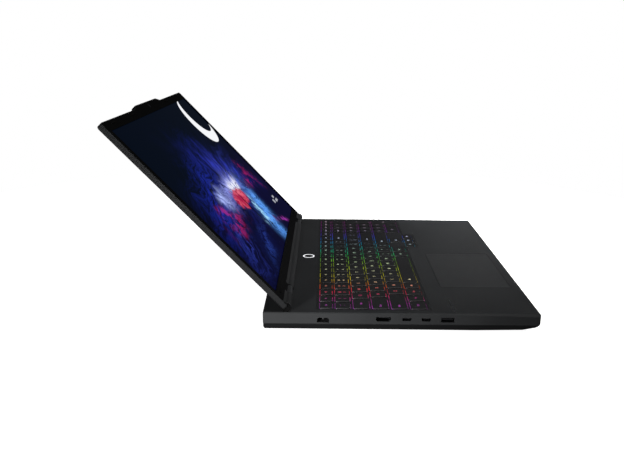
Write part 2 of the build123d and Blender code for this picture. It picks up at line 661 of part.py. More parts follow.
def panel_tray():
    """Metal tray behind the display cell, with the driver board's step along its lower edge."""
    low, high = screen_span()
    tray = block(-174.5, 174.5, low - 2.6, high + 4.5, LID_FACE_Z + 2.2, LID_FACE_Z + 3.0)
    tray += block(-160.0, 160.0, high - 8.5, high + 3.5, LID_FACE_Z + 2.9, LID_FACE_Z + 3.6)
    return opened(tray)


def camera_module():
    """Camera board with its lens barrel."""
    y = LID_TOP_Y + 1.8
    module = block(-38, 38, y - 3.4, y + 2.2, LID_FACE_Z + 2.2, LID_FACE_Z + 3.0)
    return opened(module + post(0, y, LID_FACE_Z + 1.0, LID_FACE_Z + 2.3, 2.3))


def camera_window():
    """Dark glass disc in front of the lens."""
    return opened(post(0, LID_TOP_Y + 1.8, LID_FACE_Z + 0.1, LID_FACE_Z + 0.8, 2.5))


def lid_bumpers():
    """Rubber pads on the bezel that rest on the deck when the lid is closed."""
    pads = []
    for side in SIDES:
        for x, y in ((150.0, LID_TOP_Y + 4.2), (80.0, LID_TOP_Y + 4.2), (160.0, -12.0)):
            pad = rounded(side * (x - 6), side * (x + 6), y - 1.1, y + 1.1, LID_FACE_Z - 0.5, LID_FACE_Z, 1.0)
            pads.append(opened(pad))
    return pads


def antennas():
    """Flat aerials along the lid's top edge."""
    y = LID_TOP_Y + 3.4
    return [opened(block(side * 75, side * 125, y - 2.2, y + 2.0, LID_FACE_Z + 2.2, LID_FACE_Z + 2.8)) for side in SIDES]


def display_cable():
    """Flat cable from the driver board into the hinge barrel."""
    _, high = screen_span()
    lead = block(-22, -2, -11.5, high + 3.4, LID_FACE_Z + 3.7, LID_FACE_Z + 4.0)
    lead += block(-22, -2, -11.6, -1.0, 23.15, 24.4)
    return opened(lead)


# ---- inside the base ----------------------------------------------------------------------
def motherboard():
    """Circuit board: a middle field between the fans and a band in front of them."""
    low = BOARD_TOP - BOARD_T
    board = block(-60, 60, -104, -22, low, BOARD_TOP) + block(-176, 176, -168, -104, low, BOARD_TOP)
    for side in SIDES:
        board += block(side * 158, side * 176, -104.5, -84, low, BOARD_TOP)
    board += block(-14, 14, -88, -60, BOARD_TOP - 0.1, BOARD_TOP + 1.0)
    board += block(22, 46, -84, -60, BOARD_TOP - 0.1, BOARD_TOP + 1.0)
    for x, y in foot_points():
        board -= post(x, y, 0, 20, 4.2)
    return board


def battery_pack():
    """Row of flat cells in one case."""
    pack = rounded(-128, 128, -217.5, -176, 4.2, 11.4, 2)
    cells = [block(-126 + 42.6 * i, -87 + 42.6 * i, -216, -178, 11.3, 12.0) for i in range(6)]
    for cell in cells:
        pack += cell
    return pack


def fan_housing(side):
    """Blower case: round inlets above and below, outlet to the rear."""
    half, z0, z1 = FAN_R + 4.0, 4.6, 13.6
    case = rounded(-half, half, -half, half, z0, z1, 10) + block(-half, half, 0, half, z0, z1)
    hollow = post(0, 0, z0 + 0.8, z1 - 0.8, FAN_R + 2.6)
    hollow += block(-half + 1, half - 1, 4, half + 2, z0 + 0.8, z1 - 0.8)
    case -= hollow
    case -= post(0, 0, z1 - 2, z1 + 2, 24)
    inlet = post(0, 0, z0 - 2, z0 + 2, 24) - post(0, 0, z0 - 3, z0 + 3, 9)
    inlet -= [Rot(0, 0, 120 * i) * block(0, 30, -1.5, 1.5, z0 - 3, z0 + 3) for i in range(3)]
    case -= inlet
    axle = post(0, 0, z0 + 0.7, z1 - 2.8, 1.2)
    return Pos(side * FAN_X, FAN_Y, 0) * (case + axle)


def fan_rotor(side):
    """Hub with thin blades on a disc, turning on the fixed axle."""
    z0, z1 = 5.9, 12.2
    blade = block(8.0, FAN_R, -0.35, 0.35, z0, z1)
    rotor = post(0, 0, z0, z1, 9.5)
    rotor += [Rot(0, 0, 12 * i) * Pos(0, 3.0, 0) * blade for i in range(30)]
    ring = post(0, 0, z0 + 2.8, z0 + 3.4, FAN_R - 1.0) - post(0, 0, z0, z1, FAN_R - 5.0)
    rotor += ring
    rotor -= post(0, 0, z0 - 1, z1 - 1.0, 1.25)
    return Pos(side * FAN_X, FAN_Y, 0) * rotor


def heatsink(side):
    """Stack of upright fins between a fan's outlet and the rear grille."""
    stack = block(side * 64, side * 150, -18, 12, 5.0, 5.4) + block(side * 64, side * 150, -18, 12, 11.9, 12.3)
    fins = [block(side * (64 + 2.0 * i), side * (64.35 + 2.0 * i), -18, 12, 5.2, 12.1) for i in range(43)]
    return stack + fins


def cold_plate():
    """Copper plate over the two processors."""
    return rounded(-22, 52, -92, -54, BOARD_TOP + 1.0, BOARD_TOP + 2.3, 3)


def heat_pipe(side, offset):
    """Flattened pipe from the cold plate to the fins on one side."""
    y0 = -66.0 - offset
    x0 = 10.0 if side < 0 else 20.0
    line = FilletPolyline(
        (x0, y0), (side * 52.0, y0), (side * 62.0, -11.0 + offset * 0.6), (side * 144.0, -11.0 + offset * 0.6), radius=5.0
    )
    pipe = extrude(trace(line, 6.0), 1.9)
    return Pos(0, 0, BOARD_TOP + 2.35) * pipe


def memory_modules():
    pcb = block(-34.8, 34.8, -158, -128, BOARD_TOP + 1.0, BOARD_TOP + 2.0)
    for i in range(4):
        pcb += block(-32 + 16.5 * i, -20 + 16.5 * i, -152, -138, BOARD_TOP + 1.9, BOARD_TOP + 3.0)
    return [pcb]


def storage_drives():
    drives = []
    for side in SIDES:
        drive = block(side * 52, side * 132, -160, -138, BOARD_TOP + 0.8, BOARD_TOP + 1.6)
        for x in (60.0, 84.0, 108.0):
            drive += block(side * x, side * (x + 18), -158, -141, BOARD_TOP + 1.5, BOARD_TOP + 3.0)
        drives.append(drive)
    return drives


def wireless_card():
    card = block(60, 90, -132, -110, BOARD_TOP + 0.8, BOARD_TOP + 1.6)
    return card + block(68, 86, -129, -113, BOARD_TOP + 1.5, BOARD_TOP + 2.8)


def speakers():
    """Sealed speaker boxes in the front corners."""
    boxes = []
    for side in SIDES:
        box = rounded(side * 134, side * 174, -217.5, -180, 4.4, 13.0, 3)
        boxes.append(box - post(side * 154, -201, 3, 5.2, 9.0))
    return boxes


def main():
    os.makedirs(PARTS, exist_ok=True)
    save("top_case", top_case())
    save("palm_badge", palm_badge())
    save("bottom_cover", bottom_cover())
    save("bottom_screws", *bottom_screws())
    save("rear_foot", rear_foot())
    save("front_feet", *front_feet())
    save("rear_grilles", rear_grille(-1), rear_grille(1))
    save("keyboard_frame", keyboard_frame())
    save("keyboard_backlight", keyboard_backlight())
    save("keyboard_base_plate", keyboard_base_plate())
    for name, cells in key_groups().items():
        save(name, *[keycap(cell) for cell in cells])
    save("touchpad", touchpad())
    save("touchpad_bracket", touchpad_bracket())
    save("power_button", power_button())
    save("power_button_ring", power_button_ring())
    save("power_inlet", power_inlet())
    save("hdmi_port", hdmi_port())
    save("usb_c_ports", *usb_c_ports())
    save("usb_a_ports", *usb_a_ports())
    save("ethernet_port", ethernet_port())
    save("audio_jack", audio_jack())
    save("shutter_switch", shutter_switch())
    for side, word in ((-1, "left"), (1, "right")):
        save("hinge_pin_" + word, hinge_pin(side))
        save("hinge_arm_" + word, hinge_arm(side))
        save("fan_rotor_" + word, fan_rotor(side))
    save("hinge_brackets", hinge_bracket(-1), hinge_bracket(1))
    save("hinge_bracket_screws", *hinge_bracket_screws())
    save("hinge_caps", hinge_cap(-1), hinge_cap(1))
    save("hinge_arm_screws", *hinge_arm_screws())
    save("hinge_barrel_cover", *barrel_cover())
    save("lid_cover", lid_cover())
    save("display_bezel", display_bezel())
    save("display_panel", display_panel())
    save("display_tray", panel_tray())
    save("camera_module", camera_module())
    save("camera_window", camera_window())
    save("lid_bumpers", *lid_bumpers())
    save("antennas", *antennas())
    save("display_cable", display_cable())
    save("motherboard", motherboard())
    save("battery_pack", battery_pack())
    save("fan_housings", fan_housing(-1), fan_housing(1))
    save("heatsink_fins", heatsink(-1), heatsink(1))
    save("cold_plate", cold_plate())
    save("heat_pipes", *[heat_pipe(side, 8.0 * i) for side in SIDES for i in range(2)])
    save("memory_modules", *memory_modules())
    save("storage_drives", *storage_drives())
    save("wireless_card", wireless_card())
    save("speakers", *speakers())


main()
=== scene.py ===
import json
import math

import bmesh
import bpy
from mathutils import Matrix, Vector


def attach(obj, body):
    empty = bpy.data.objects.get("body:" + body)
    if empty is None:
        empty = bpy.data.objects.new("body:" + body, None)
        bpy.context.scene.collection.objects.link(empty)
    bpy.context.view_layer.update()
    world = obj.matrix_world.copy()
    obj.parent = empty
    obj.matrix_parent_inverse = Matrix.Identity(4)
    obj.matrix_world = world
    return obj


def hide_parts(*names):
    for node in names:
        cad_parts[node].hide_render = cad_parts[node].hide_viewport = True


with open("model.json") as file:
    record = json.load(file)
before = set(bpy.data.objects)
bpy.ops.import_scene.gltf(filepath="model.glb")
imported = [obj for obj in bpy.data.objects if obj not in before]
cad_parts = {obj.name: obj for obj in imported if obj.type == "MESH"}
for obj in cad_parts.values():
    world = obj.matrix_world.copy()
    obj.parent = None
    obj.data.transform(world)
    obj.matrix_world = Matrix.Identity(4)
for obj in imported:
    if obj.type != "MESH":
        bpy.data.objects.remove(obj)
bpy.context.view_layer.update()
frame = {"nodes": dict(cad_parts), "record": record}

MM = 0.001
LID_ANGLE = math.radians(46.07)  # the stored lid's slope above the desk
AXIS = Vector((0, 0, 23.3 * MM))  # the lid's hinge axis
LID_UP = Vector((0, math.cos(LID_ANGLE), math.sin(LID_ANGLE)))  # from the hinge to the lid's top edge
HINGE_EDGE = 0.2  # the lid's hinge edge lies this far below the axis along LID_UP, in mm


# ---- camera ---------------------------------------------------------------------------------
def add_camera():
    """Camera at the left of the base, looking along +X and down."""
    yaw, pitch, roll = math.radians(0.979), math.radians(15.4), math.radians(0.187)
    ahead = Vector((math.cos(pitch) * math.cos(yaw), math.cos(pitch) * math.sin(yaw), -math.sin(pitch)))
    level = ahead.cross(Vector((0, 0, 1))).normalized()
    upright = level.cross(ahead)
    right = level * math.cos(roll) + upright * math.sin(roll)
    up = upright * math.cos(roll) - level * math.sin(roll)
    data = bpy.data.cameras.new("camera")
    data.lens, data.sensor_width = 40.75, 36.0
    data.clip_end = 100
    camera = bpy.data.objects.new("camera", data)
    basis = Matrix((right, up, -ahead)).transposed().to_4x4()
    camera.matrix_world = Matrix.Translation((-0.82087, -0.03582, 0.27872)) @ basis
    bpy.context.scene.collection.objects.link(camera)
    bpy.context.scene.camera = camera


# ---- material graphs ------------------------------------------------------------------------
class Graph:
    """A material's nodes, with short calls for the sums that a pattern needs."""

    def __init__(self, name):
        self.material = bpy.data.materials.new(name)
        self.material.use_nodes = True
        self.tree = self.material.node_tree
        self.tree.nodes.clear()
        self.output = self.tree.nodes.new("ShaderNodeOutputMaterial")

    def put(self, socket, value):
        if isinstance(value, bpy.types.NodeSocket):
            self.tree.links.new(value, socket)
        elif value is not None:
            socket.default_value = value

    def node(self, kind, settings=(), **values):
        made = self.tree.nodes.new(kind)
        for name, value in dict(settings).items():
            setattr(made, name, value)
        for name, value in values.items():
            self.put(made.inputs[name.replace("_", " ")], value)
        return made

    def math(self, operation, a, b=None, c=None):
        made = self.tree.nodes.new("ShaderNodeMath")
        made.operation = operation
        for socket, value in zip(made.inputs, (a, b, c)):
            self.put(socket, value)
        return made.outputs[0]

    def add(self, a, b):
        return self.math("ADD", a, b)

    def sub(self, a, b):
        return self.math("SUBTRACT", a, b)

    def mul(self, a, b):
        return self.math("MULTIPLY", a, b)

    def step(self, value, low, high):
        """0 below low and 1 above high, with a smooth change between them."""
        made = self.node("ShaderNodeMapRange", {"interpolation_type": "SMOOTHSTEP"})
        for name, setting in (("Value", value), ("From Min", low), ("From Max", high)):
            self.put(made.inputs[name], setting)
        return made.outputs[0]

    def vector(self, x, y, z=0.0):
        return self.node("ShaderNodeCombineXYZ", X=x, Y=y, Z=z).outputs[0]

    def noise(self, vector, scale, detail=3.0, rough=0.55, distortion=0.0):
        made = self.node("ShaderNodeTexNoise", Vector=vector, Scale=scale, Detail=detail)
        made.inputs["Roughness"].default_value = rough
        made.inputs["Distortion"].default_value = distortion
        return made.outputs["Fac"]

    def ramp(self, value, stops):
        made = self.node("ShaderNodeValToRGB", Fac=value)
        elements = made.color_ramp.elements
        while len(elements) < len(stops):
            elements.new(0.5)
        for element, (position, colour) in zip(elements, stops):
            element.position = position
            element.color = (*colour, 1.0)
        return made.outputs[0]

    def mix(self, share, a, b, blend="MIX"):
        made = self.node("ShaderNodeMix", {"data_type": "RGBA", "blend_type": blend})
        self.put(made.inputs[0], share)
        for socket, value in ((made.inputs[6], a), (made.inputs[7], b)):
            self.put(socket, (*value, 1.0) if isinstance(value, tuple) else value)
        return made.outputs[2]

    def bump(self, height, distance, strength=1.0):
        return self.node("ShaderNodeBump", Height=height, Distance=distance, Strength=strength).outputs[0]

    def surface(self, **values):
        shader = self.tree.nodes.new("ShaderNodeBsdfPrincipled")
        for name, value in values.items():
            self.put(shader.inputs[name.replace("_", " ")], value)
        self.tree.links.new(shader.outputs[0], self.output.inputs[0])
        return self.material

    def place(self):
        return self.node("ShaderNodeTexCoord").outputs["Object"]


def finish(name, colour, rough, metal=0.0, vary=0.12, grain=3000.0, depth=0.00002, streak=None, **extra):
    """A moulded, painted or metal finish: faint clouding of its colour and gloss over a fine grain."""
    g = Graph(name)
    place = g.place()
    grain_place = place
    if streak:
        scaled = g.node("ShaderNodeVectorMath", {"operation": "MULTIPLY"})
        g.put(scaled.inputs[0], place)
        scaled.inputs[1].default_value = streak
        grain_place = scaled.outputs[0]
    cloud = g.noise(place, 28.0, 4.0)
    fine = g.noise(grain_place, grain, 2.0)
    both = g.add(g.mul(cloud, 0.7), g.mul(fine, 0.3))
    dark = tuple(c * (1 - vary) for c in colour)
    light = tuple(min(1.0, c * (1 + vary)) for c in colour)
    base = g.mix(g.step(both, 0.3, 0.7), dark, light)
    gloss = g.add(rough - 0.06, g.mul(both, 0.12))
    normal = g.bump(fine, depth)
    return g.surface(Base_Color=base, Roughness=gloss, Metallic=metal, Normal=normal, **extra)


KEYS_WIDTH = 344  # the lit field's width, in mm
HUES = [  # position across the keyboard in mm, and the light's colour there
    (-172, (0.26, 0.02, 0.34)),
    (-148, (0.34, 0.02, 0.26)),
    (-133, (0.46, 0.01, 0.09)),
    (-114, (0.62, 0.01, 0.02)),
    (-98, (0.55, 0.12, 0.00)),
    (-82, (0.46, 0.34, 0.00)),
    (-50, (0.36, 0.42, 0.00)),
    (-22, (0.20, 0.42, 0.00)),
    (4, (0.01, 0.34, 0.05)),
    (30, (0.00, 0.30, 0.18)),
    (58, (0.00, 0.20, 0.34)),
    (86, (0.02, 0.05, 0.46)),
    (108, (0.09, 0.01, 0.40)),
    (138, (0.26, 0.00, 0.28)),
    (172, (0.34, 0.00, 0.24)),
]


def hue_socket(g):
    """The backlight's colour, which changes from left to right, and the place across, from 0 to 1."""
    across = g.node("ShaderNodeSeparateXYZ", Vector=g.place()).outputs[0]
    share = g.math("MULTIPLY_ADD", across, 1 / (KEYS_WIDTH * MM), 0.5)
    return g.ramp(share, [(x / KEYS_WIDTH + 0.5, colour) for x, colour in HUES]), share


def backlight(name, strength, whiten, patchy, fade):
    """Light from under the keys, a little uneven from key to key, and fainter towards the right."""
    g = Graph(name)
    hue, share = hue_socket(g)
    colour = g.mix(g.mul(g.step(share, 0.10, 0.34), whiten), hue, (0.85, 0.85, 0.80))
    uneven = g.step(g.noise(g.place(), 70.0, 3.0, 0.7), 0.38, 0.62)
    dim = g.math("MAXIMUM", g.mul(uneven, patchy), g.mul(g.step(share, 0.62, 0.95), fade))
    lit = g.mix(dim, colour, (0.004, 0.004, 0.004))
    return g.surface(
        Base_Color=(0.03, 0.03, 0.03, 1), Roughness=0.5, Emission_Color=lit, Emission_Strength=strength
    )


class ScreenGraph(Graph):
    """A graph for the screen, with places on it in mm: u right of its middle, d up from the hinge edge."""

    def __init__(self, name):
        super().__init__(name)
        x, y, z = self.node("ShaderNodeSeparateXYZ", Vector=self.place()).outputs
        self.u = self.mul(x, 1 / MM)
        up_y = self.mul(y, LID_UP.y / MM)
        up_z = self.mul(self.sub(z, AXIS.z), LID_UP.z / MM)
        self.d = self.add(self.add(up_y, up_z), HINGE_EDGE)
        self.plain = self.vector(self.u, self.d)

    def from_point(self, at, point):
        """A place's distances right of a point and up from it."""
        return self.sub(at[0], point[0]), self.sub(at[1], point[1])

    def turned(self, at, turn):
        """A place's distances along and across a direction, given in degrees."""
        c, s = math.cos(math.radians(turn)), math.sin(math.radians(turn))
        along = self.add(self.mul(at[0], c), self.mul(at[1], s))
        across = self.sub(self.mul(at[1], c), self.mul(at[0], s))
        return along, across

    def warp(self, amount, scale, detail=5.0):
        """The screen's places, pushed about by noise, so that shapes turn into clouds."""
        noise = self.node("ShaderNodeTexNoise", Vector=self.plain, Scale=scale, Detail=detail)
        red, green = self.node("ShaderNodeSeparateXYZ", Vector=noise.outputs["Color"]).outputs[:2]
        u = self.add(self.u, self.mul(self.sub(red, 0.5), amount))
        return u, self.add(self.d, self.mul(self.sub(green, 0.5), amount))

    def blob(self, at, centre, radii, turn=0.0):
        """A soft spot, turned by an angle in degrees."""
        along, across = self.turned(self.from_point(at, centre), turn)
        a, b = self.mul(along, 1 / radii[0]), self.mul(across, 1 / radii[1])
        return self.math("EXPONENT", self.mul(self.add(self.mul(a, a), self.mul(b, b)), -1.0))

    def ridges(self, vector, sharp, detail=5.0):
        """Thin bright threads where noise crosses its middle value."""
        noise = self.noise(vector, 1.0, detail, 0.6, 0.5)
        ridge = self.sub(1.0, self.math("ABSOLUTE", self.mul(self.sub(noise, 0.5), 5.0)))
        return self.math("POWER", self.math("MAXIMUM", ridge, 0.0), sharp)

    def rays(self, at, centre, count, length, seed, sharp):
        """Threads that stream away from a point."""
        du, dd = self.from_point(at, centre)
        away = self.math("SQRT", self.add(self.add(self.mul(du, du), self.mul(dd, dd)), 1.0))
        east, north = self.math("DIVIDE", du, away), self.math("DIVIDE", dd, away)
        steps = self.mul(self.math("LOGARITHM", self.add(away, 12.0), math.e), 20.0 / length)
        turning = self.vector(self.mul(east, count), self.mul(north, count), self.add(steps, seed))
        return self.ridges(turning, sharp)

    def threads(self, at, turn, length, width, seed, sharp):
        """Threads that run in one direction."""
        along, across = self.turned(at, turn)
        drawn_out = self.vector(self.mul(along, 1 / length), self.mul(across, 1 / width), seed)
        return self.ridges(drawn_out, sharp)

    def disc(self, centre, radius):
        """1 within a distance of a point and 0 beyond it."""
        du, dd = self.from_point((self.u, self.d), centre)
        away = self.math("SQRT", self.add(self.mul(du, du), self.mul(dd, dd)))
        return self.step(away, radius + 0.5, radius - 0.5)

    def span(self, value, low, high):
        """1 between two places and 0 outside them."""
        return self.mul(self.step(value, low - 0.3, low + 0.3), self.step(value, high + 0.3, high - 0.3))


def nebula(g):
    """Soft clouds and threads of light round a core, on a dark blue ground."""
    soft, wild, fine = g.warp(48.0, 0.022), g.warp(80.0, 0.030), g.warp(24.0, 0.075)
    heart = (4, 96)
    burst = g.rays(soft, heart, 2.6, 30.0, 2.0, 2.4)
    burst_fine = g.rays(fine, heart, 5.0, 16.0, 9.0, 2.0)
    cloud = g.step(g.noise(g.vector(*wild), 0.018, 6.0, 0.62), 0.40, 0.68)
    clumps = g.step(g.noise(g.vector(*fine), 0.060, 6.0, 0.70), 0.44, 0.62)

    low = g.step(g.d, 170.0, 70.0)
    right = g.step(g.u, -90.0, 60.0)
    lower_right = g.mul(g.mul(right, 0.30), g.step(g.d, 200.0, 110.0))
    depth = g.math("MINIMUM", g.add(g.mul(low, 0.75), lower_right), 1.0)
    colour = g.ramp(depth, [
        (0.0, (0.0006, 0.0026, 0.0080)),
        (0.5, (0.0008, 0.0016, 0.013)),
        (1.0, (0.0009, 0.0008, 0.020)),
    ])

    spots = [  # colour, strength, places, middle, radii, turn and texture of each cloud of light
        ((0.003, 0.007, 0.12), 0.6, soft, (26, 88), (86, 44), 10, cloud),
        ((0.014, 0.020, 0.30), 0.9, wild, (46, 132), (62, 22), -24, g.add(g.mul(cloud, 0.5), burst)),
        ((0.010, 0.022, 0.34), 0.8, soft, (-84, 122), (74, 26), 26, g.threads(soft, 24, 70, 10, 3.0, 4.0)),
        ((0.036, 0.052, 0.44), 0.55, soft, (20, 114), (66, 30), 20, burst),
        ((0.030, 0.050, 0.40), 0.5, soft, (-122, 64), (44, 18), 30, g.threads(soft, 22, 44, 7, 11.0, 4.5)),
        ((0.100, 0.330, 0.90), 1.5, soft, (40, 52), (16, 42), -20, g.threads(wild, 116, 34, 7, 15.0, 1.6)),
        ((0.360, 0.700, 1.00), 1.4, wild, (27, 72), (10, 18), -20, clumps),
        ((0.020, 0.050, 0.30), 0.6, soft, (-60, 40), (40, 9), 16, g.threads(wild, 12, 44, 7, 19.0, 3.5)),
        ((0.300, 0.340, 0.95), 0.9, soft, (-2, 112), (44, 15), 6, burst_fine),
        ((0.800, 0.820, 1.00), 1.25, soft, (16, 108), (20, 9), 10, g.add(g.mul(clumps, 0.5), burst_fine)),
        ((0.400, 0.480, 1.00), 1.1, soft, (-60, 112), (17, 9), 10, g.add(g.mul(clumps, 0.3), burst_fine)),
        ((0.300, 0.004, 0.050), 1.5, wild, (108, 98), (24, 12), 6, clumps),
        ((0.260, 0.003, 0.045), 1.5, wild, (-84, 92), (30, 12), 4, clumps),
        ((0.400, 0.040, 0.420), 1.0, soft, (84, 26), (26, 4), -20, clumps),
    ]
    for tint, strength, at, centre, radii, turn, texture in spots:
        mask = g.mul(g.blob(at, centre, radii, turn), texture)
        share = g.math("MINIMUM", g.mul(mask, strength * 1.3), 1.0)
        colour = g.mix(share, colour, tint, "SCREEN")

    core = g.step(g.blob(fine, (0, 93), (33, 16), 0), 0.34, 0.60)
    rose = g.mix(clumps, (0.42, 0.008, 0.050), (0.82, 0.11, 0.17))
    colour = g.mix(g.mul(core, 0.92), colour, rose)
    rift = g.step(g.blob(g.warp(14.0, 0.06), (3, 76), (2.2, 30), 3), 0.25, 0.8)
    return g.mix(g.mul(rift, 0.9), colour, (0.0004, 0.0004, 0.002))


def wallpaper(name):
    """A lit screen: a nebula, a crescent moon and three plain tiles."""
    g = ScreenGraph(name)
    moon = g.mul(g.disc((137, 197), 38.0), g.sub(1.0, g.disc((150, 208), 31.5)))
    colour = g.mix(moon, nebula(g), (0.92, 0.93, 0.96))
    for left, right, low, high in ((132, 146, 44, 48), (132, 141, 51, 55), (118, 126, 46, 52)):
        tile = g.mul(g.span(g.u, left, right), g.span(g.d, low, high))
        colour = g.mix(g.mul(tile, 0.75), colour, (0.55, 0.56, 0.62))
    return g.surface(
        Base_Color=(0.001, 0.001, 0.002, 1), Roughness=0.10, Specular_IOR_Level=0.05,
        Emission_Color=colour, Emission_Strength=1.0,
    )


def board_finish(name):
    """Green circuit board with copper tracks under its lacquer."""
    g = Graph(name)
    place = g.place()
    cells = g.node("ShaderNodeTexBrick", {"offset": 0.5}, Vector=place, Scale=160.0)
    cells.inputs["Mortar Size"].default_value = 0.06
    tracks = g.step(g.noise(place, 420.0, 1.0), 0.5, 0.53)
    base = g.mix(tracks, (0.008, 0.050, 0.030), (0.016, 0.085, 0.050))
    base = g.mix(g.mul(cells.outputs["Fac"], 0.6), base, (0.05, 0.10, 0.04))
    return g.surface(Base_Color=base, Roughness=0.38, Normal=g.bump(tracks, 0.00003))


MATERIALS = {
    "deck": finish(
        "deck", (0.0190, 0.0198, 0.0208), 0.48, grain=5200.0, depth=0.000012, Specular_IOR_Level=0.3,
    ),
    "cover": finish("cover", (0.0038, 0.0040, 0.0043), 0.6, grain=4200.0, Specular_IOR_Level=0.2),
    "lid_shell": finish(
        "lid_shell", (0.0105, 0.0109, 0.0116), 0.5,
        metal=0.1, grain=20000.0, depth=0.0000001, Specular_IOR_Level=0.12,
    ),
    "bezel": finish("bezel", (0.0018, 0.0018, 0.0020), 0.6, Specular_IOR_Level=0.08),
    "keycap": finish("keycap", (0.0095, 0.0095, 0.0102), 0.46, grain=4600.0),
    "key_frame": finish("key_frame", (0.0110, 0.0113, 0.0122), 0.5),
    "light_sheet": backlight("light_sheet", 0.6, 0.0, 0.2, 0.3),
    "touch_surface": finish(
        "touch_surface", (0.0240, 0.0247, 0.0258), 0.40, vary=0.06, grain=5000.0, depth=0.000004,
    ),
    "button": finish("button", (0.012, 0.012, 0.014), 0.4),
    "badge": finish("badge", (0.45, 0.46, 0.48), 0.3, metal=1.0, grain=1800.0, streak=(0.05, 1, 1)),
    "rubber": finish("rubber", (0.010, 0.010, 0.011), 0.85, grain=1600.0, depth=0.00006),
    "steel": finish("steel", (0.42, 0.43, 0.45), 0.34, metal=1.0, grain=1500.0, streak=(0.05, 1, 1)),
    "dark_screw": finish("dark_screw", (0.09, 0.09, 0.10), 0.35, metal=1.0, grain=2600.0),
    "hinge_plastic": finish(
        "hinge_plastic", (0.0200, 0.0206, 0.0216), 0.45,
        grain=3000.0, depth=0.000004, Specular_IOR_Level=0.3,
    ),
    "socket": finish("socket", (0.035, 0.036, 0.039), 0.42, metal=1.0, grain=1800.0, streak=(0.05, 1, 1)),
    "socket_plastic": finish("socket_plastic", (0.010, 0.010, 0.011), 0.5),
    "screen": wallpaper("screen"),
    "tray": finish("tray", (0.45, 0.46, 0.47), 0.38, metal=1.0, grain=900.0, streak=(0.05, 1, 1)),
    "board": board_finish("board"),
    "camera": finish("camera", (0.006, 0.006, 0.010), 0.12, grain=3000.0, depth=0.000002, Coat_Weight=0.6),
    "copper": finish("copper", (0.72, 0.36, 0.22), 0.32, metal=1.0, grain=1400.0, streak=(0.08, 1, 1)),
    "fins": finish("fins", (0.55, 0.56, 0.58), 0.32, metal=1.0, grain=1400.0, streak=(1, 1, 0.08)),
    "fan": finish("fan", (0.016, 0.016, 0.018), 0.45),
    "battery": finish("battery", (0.014, 0.014, 0.016), 0.3, grain=260.0, depth=0.00008),
    "foil": finish("foil", (0.50, 0.51, 0.53), 0.3, metal=1.0, grain=500.0, depth=0.00006),
}


def ring_light(name):
    """White light through the ring round the power button."""
    g = Graph(name)
    soft = g.noise(g.place(), 300.0, 2.0)
    white = g.mix(soft, (0.82, 0.86, 0.92), (1.0, 1.0, 1.0))
    return g.surface(
        Base_Color=(0.8, 0.8, 0.8, 1), Roughness=0.3, Emission_Color=white, Emission_Strength=0.8
    )


MATERIALS["light_ring"] = ring_light("light_ring")

# Finishes of pieces that no CAD slot covers. The plugs' near-black is painted shade, for the shadow at the
# ends of the hinge cover.
LEGEND = backlight("legend", 1.5, 0.45, 0.45, 0.5)
GLOW = backlight("glow", 1.3, 0.0, 0.75, 0.6)
# painted shade: near-black for the shadowed ends of the hinge cover
PLUG_PAINTED_SHADE = finish("plug_painted_shade", (0.0015, 0.0015, 0.0016), 0.8, grain=2000.0, Specular_IOR_Level=0.05)
GOLD = finish("gold", (0.80, 0.56, 0.22), 0.3, metal=1.0, grain=2000.0)

NODE_FINISHES_AND_HIGHLIGHT = {  # nodes whose finish differs from the others in their slot; the hinge caps' lighter copy of the hinge plastic is a painted highlight
    # painted highlight: lighter plastic on the hinge caps, standing for light on their flat, upward-facing
    # tops
    "hinge_caps": finish("cap_plastic_painted_highlight", (0.030, 0.031, 0.033), 0.4, grain=3000.0, depth=0.000004),
    "lid_bumpers": finish("bumper", (0.0030, 0.0030, 0.0032), 0.85, grain=1600.0, Specular_IOR_Level=0.1),
}


def dress_cad_nodes():
    """Gives every CAD node the material of its slot, or its own."""
    for entry in frame["record"]["subparts"]:
        mesh = frame["nodes"][entry["node"]].data
        mesh.materials.clear()
        mesh.materials.append(NODE_FINISHES_AND_HIGHLIGHT.get(entry["node"], MATERIALS[entry["material_slot"]]))


# ---- meshes ---------------------------------------------------------------------------------
def piece(name, bm, material, body, smooth=True):
    """Makes an object from mesh code, and lets it ride on a body."""
    bmesh.ops.recalc_face_normals(bm, faces=bm.faces)
    mesh = bpy.data.meshes.new(name)
    bm.to_mesh(mesh)
    bm.free()
    if smooth:
        mesh.shade_smooth()
        mesh.set_sharp_from_angle(angle=math.radians(38))
    mesh.materials.append(material)
    made = bpy.data.objects.new(name, mesh)
    bpy.context.scene.collection.objects.link(made)
    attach(made, body)
    return made


MICRON = 1e-6
ROW_APART = 3 * MM  # solids whose middles differ by more than this along Y stand in different rows


def solids(node):
    """Lowest and highest corner of every solid in a node, row by row from the rear, left to right."""
    mesh = frame["nodes"][node].data
    keys = [tuple(round(c * 1e6) for c in v.co) for v in mesh.vertices]  # in microns
    parent = {k: k for k in keys}

    def root(k):
        while parent[k] != k:
            parent[k] = parent[parent[k]]
            k = parent[k]
        return k

    for face in mesh.polygons:
        first = root(keys[face.vertices[0]])
        for index in face.vertices[1:]:
            parent[root(keys[index])] = first
    groups = {}
    for k in parent:
        groups.setdefault(root(k), []).append(k)
    boxes = []
    for points in groups.values():
        low = Vector([min(p[i] for p in points) for i in range(3)]) * MICRON
        high = Vector([max(p[i] for p in points) for i in range(3)]) * MICRON
        boxes.append((low, high))
    boxes.sort(key=lambda b: -(b[0].y + b[1].y))
    ordered, row = [], []
    for box in boxes:
        if row and abs((row[0][0].y + row[0][1].y) - (box[0].y + box[1].y)) / 2 > ROW_APART:
            ordered += sorted(row, key=lambda b: b[0].x)
            row = []
        row.append(box)
    return ordered + sorted(row, key=lambda b: b[0].x)


FRONT_CORNER, REAR_CORNER, LEAST_CORNER = 3.0 * MM, 1.4 * MM, 0.3 * MM  # radii of a keycap's corners


